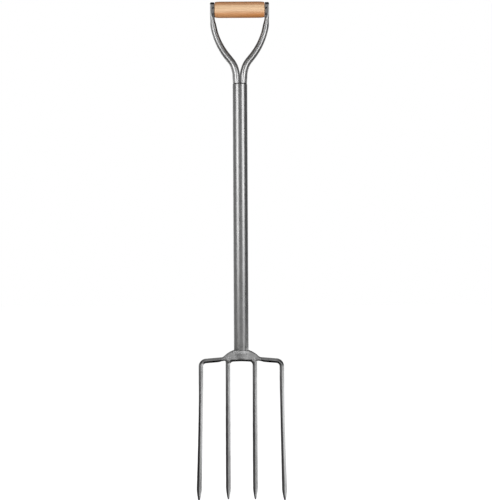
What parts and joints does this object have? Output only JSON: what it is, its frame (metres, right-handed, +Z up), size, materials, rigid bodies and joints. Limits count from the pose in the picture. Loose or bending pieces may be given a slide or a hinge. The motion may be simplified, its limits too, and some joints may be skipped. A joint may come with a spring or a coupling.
{
  "type": "digging fork",
  "caption": "Long-handled digging fork: pointed steel tines on a forged crown, a steel tube shaft, and a wooden grip held between curved tube arms.",
  "frame": {"origin": "the underside of the middle of the grip, where the fork hangs or is held; on the shaft's axis", "axes": "+Z up along the shaft towards the grip, +X to the right seen from the front, and the front, towards which the tines dish, faces -Y"},
  "size_m": [0.1836, 0.0333, 1.0159],
  "materials": {
    "grip_wood": "pale straight-grained ash, thin satin varnish",
    "shaft_steel": "satin grey, faintly mottled",
    "arm_steel": "satin grey, a little brighter than the shaft",
    "head_steel": "forged and tumbled, satin grey with darker points",
    "pin_steel": "dull drawn steel"
  },
  "bodies": {
    "root": {"grip": "grip_wood", "grip_rod": "pin_steel", "grip_pin_left": "pin_steel", "grip_pin_right": "pin_steel", "arm_left": "arm_steel", "arm_right": "arm_steel", "shaft": "shaft_steel", "crown": "head_steel", "tine_outer_left": "head_steel", "tine_inner_left": "head_steel", "tine_inner_right": "head_steel", "tine_outer_right": "head_steel"}
  },
  "joints": []
}
